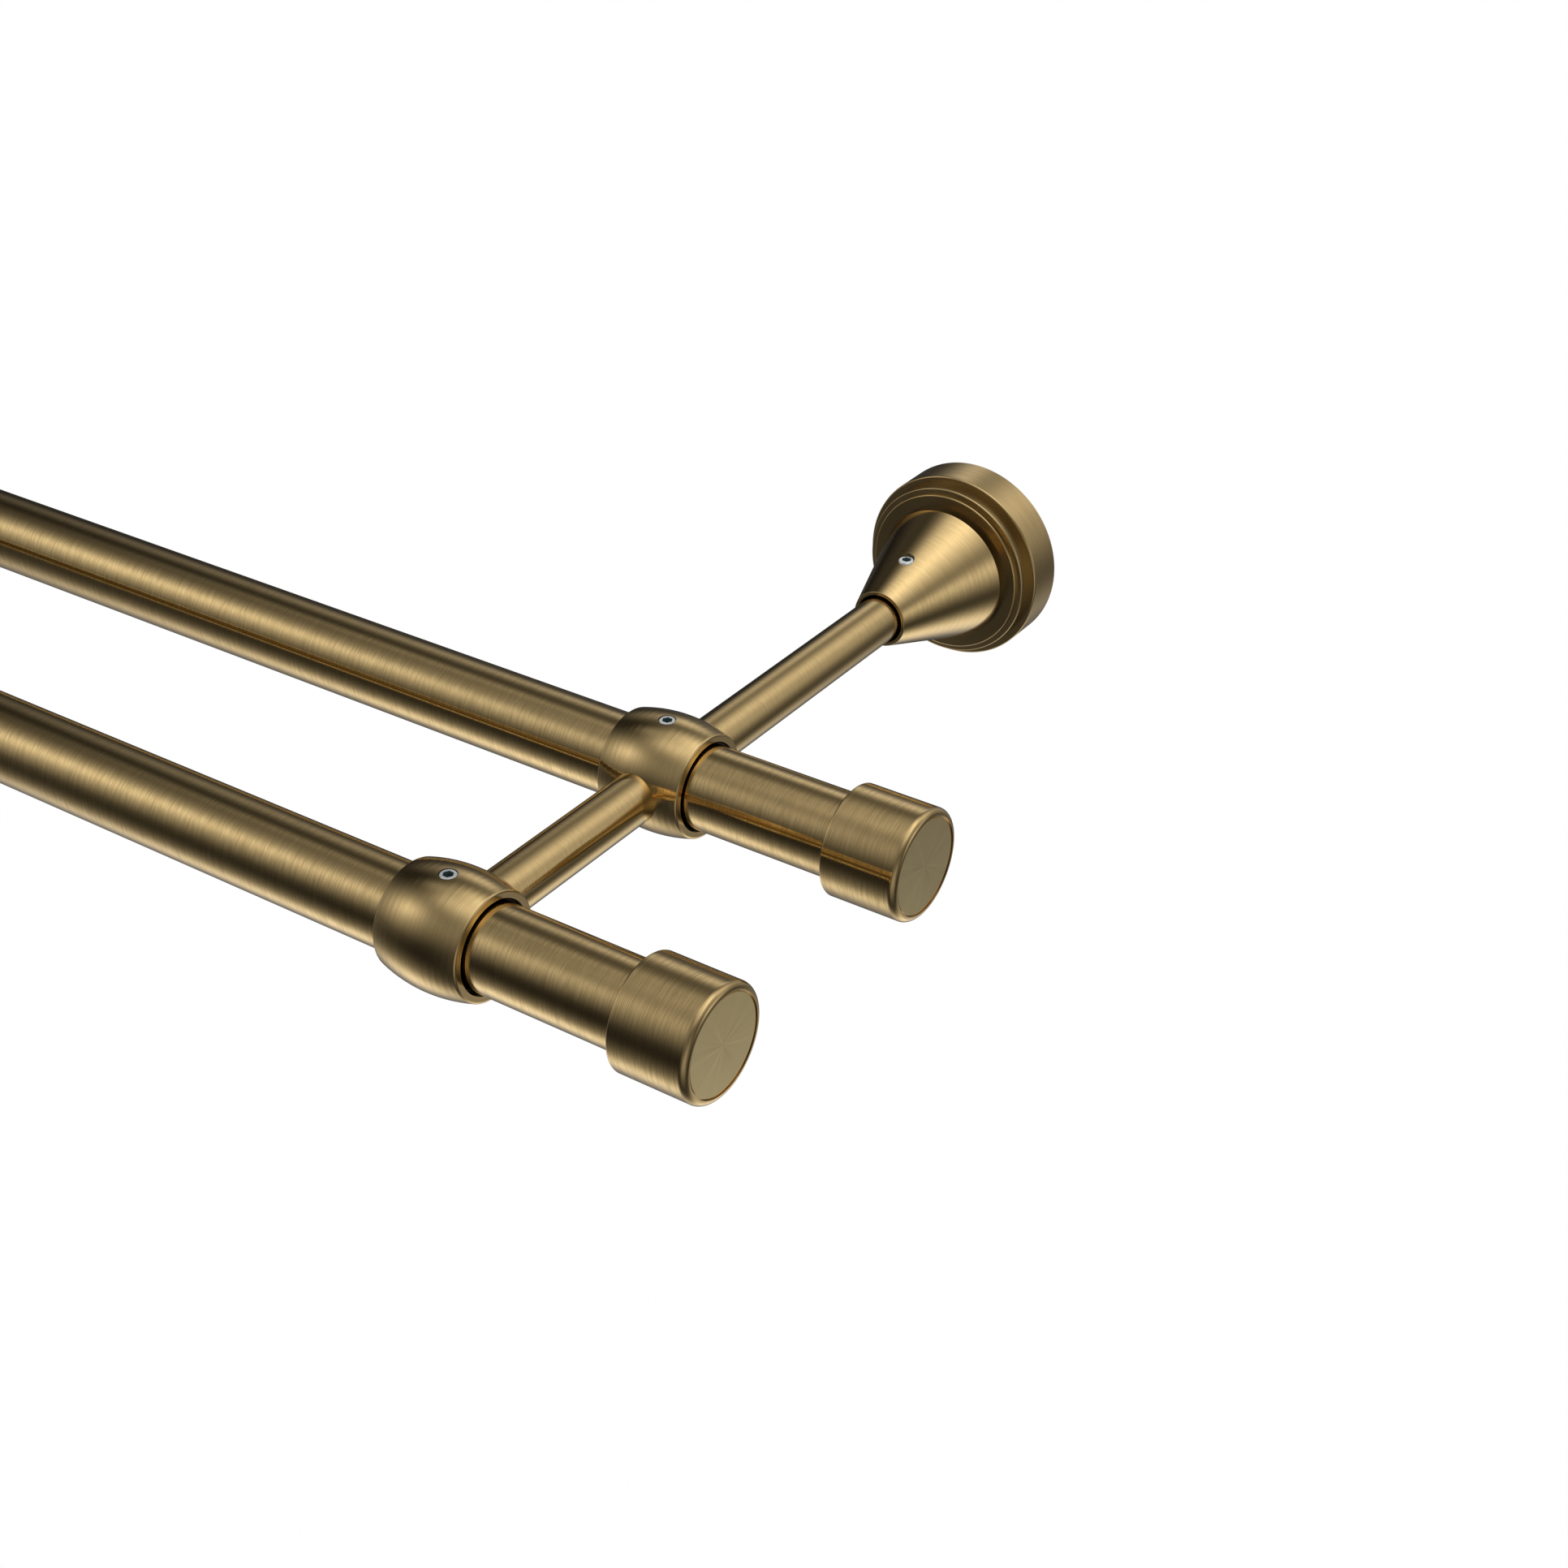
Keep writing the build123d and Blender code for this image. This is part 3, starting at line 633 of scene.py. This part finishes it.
def pale_floor(name, half):
    """Square floor in metres at the height FLOOR_Z, from -half to half both ways: p = (u, v, FLOOR_Z).
    It reads white to the camera; the metal sees its white where the pools of light lie, and the dark
    cloths beyond them."""
    s = np.linspace(-half, half, 9)
    gx, gy = np.meshgrid(s, s, indexing="ij")
    points = np.stack([gx, gy, 0 * gx + FLOOR_Z], -1).reshape(-1, 3)
    index = np.arange(gx.size).reshape(gx.shape)
    quads = np.stack([index[:-1, :-1], index[1:, :-1], index[1:, 1:], index[:-1, 1:]], -1).reshape(-1, 4)
    mesh = bpy.data.meshes.new(name)
    mesh.from_pydata(points.tolist(), [], quads.tolist())
    finish = bpy.data.materials.new("pale floor")
    finish.use_nodes = True
    tree = finish.node_tree
    tree.nodes.clear()
    out = node(tree, "ShaderNodeOutputMaterial", 600, 0)
    path = node(tree, "ShaderNodeLightPath", -700, 300)
    paint = node(tree, "ShaderNodeBsdfDiffuse", -200, 0)
    paint.inputs["Color"].default_value = (0.8, 0.8, 0.8, 1)
    glow = node(tree, "ShaderNodeEmission", -200, -150)
    seen = arithmetic(tree, "MAXIMUM", path.outputs["Is Camera Ray"],
                      path.outputs["Is Transmission Ray"], -500, -150)
    tree.links.new(arithmetic(tree, "MULTIPLY", seen, 0.2, -350, -150), glow.inputs["Strength"])
    plain = node(tree, "ShaderNodeAddShader", 50, 0)
    tree.links.new(paint.outputs[0], plain.inputs[0])
    tree.links.new(glow.outputs[0], plain.inputs[1])
    place = node(tree, "ShaderNodeTexCoord", -1500, -400)
    from_bracket = node(tree, "ShaderNodeVectorMath", -1300, -400, operation="SUBTRACT")
    from_bracket.inputs[1].default_value = (BRACKET_X / 1000, -0.15, 0)
    tree.links.new(place.outputs["Object"], from_bracket.inputs[0])
    way = node(tree, "ShaderNodeVectorMath", -1150, -400, operation="NORMALIZE")
    tree.links.new(from_bracket.outputs[0], way.inputs[0])
    pools = lamp_sum(tree, way.outputs[0], POOLS, -1000, -400)
    white = node(tree, "ShaderNodeEmission", -200, -350)
    white.inputs["Strength"].default_value = POOL_WHITE
    clear = node(tree, "ShaderNodeBsdfTransparent", -200, -500)
    pool = node(tree, "ShaderNodeMixShader", 50, -350)
    share = arithmetic(tree, "DIVIDE", pools, POOL_WHITE, -250, -250)
    tree.links.new(arithmetic(tree, "MINIMUM", share, 1.0, -150, -250), pool.inputs[0])
    tree.links.new(clear.outputs[0], pool.inputs[1])
    tree.links.new(white.outputs[0], pool.inputs[2])
    both = node(tree, "ShaderNodeMixShader", 350, 0)
    tree.links.new(path.outputs["Is Glossy Ray"], both.inputs[0])
    tree.links.new(plain.outputs[0], both.inputs[1])
    tree.links.new(pool.outputs[0], both.inputs[2])
    tree.links.new(both.outputs[0], out.inputs["Surface"])
    mesh.materials.append(finish)
    floor = bpy.data.objects.new(name, mesh)
    bpy.context.collection.objects.link(floor)


pale_floor("floor", 30.0)

# Camera.
# EYE is in millimetres from the place where the right bracket holds the front rod, FOCAL and the place
# of the axis in pixels of an image that is IMAGE wide and high.
AZIMUTH, ELEVATION = np.radians(34.4706), np.radians(34.0863)
EYE = (277.19, -294.32, 282.32)
IMAGE, FOCAL, AXIS_X, AXIS_Y = 1932, 2913.81, 927.26, 1086.62
back = Vector((
    np.sin(AZIMUTH) * np.cos(ELEVATION), -np.cos(AZIMUTH) * np.cos(ELEVATION), np.sin(ELEVATION),
))
lens = bpy.data.cameras.new("camera")
lens.sensor_fit = "HORIZONTAL"
lens.sensor_width = 36.0
lens.lens = FOCAL / IMAGE * lens.sensor_width
lens.shift_x = (IMAGE / 2 - AXIS_X) / IMAGE
lens.shift_y = (AXIS_Y - IMAGE / 2) / IMAGE
lens.clip_start, lens.clip_end = 0.01, 50.0
camera = bpy.data.objects.new("camera", lens)
bpy.context.collection.objects.link(camera)
camera.location = ((EYE[0] + BRACKET_X) / 1000, (EYE[1] + FRONT_Y) / 1000, EYE[2] / 1000)
camera.rotation_euler = (-back).to_track_quat("-Z", "Y").to_euler()
bpy.context.scene.camera = camera
bpy.context.scene.view_settings.view_transform = "Standard"
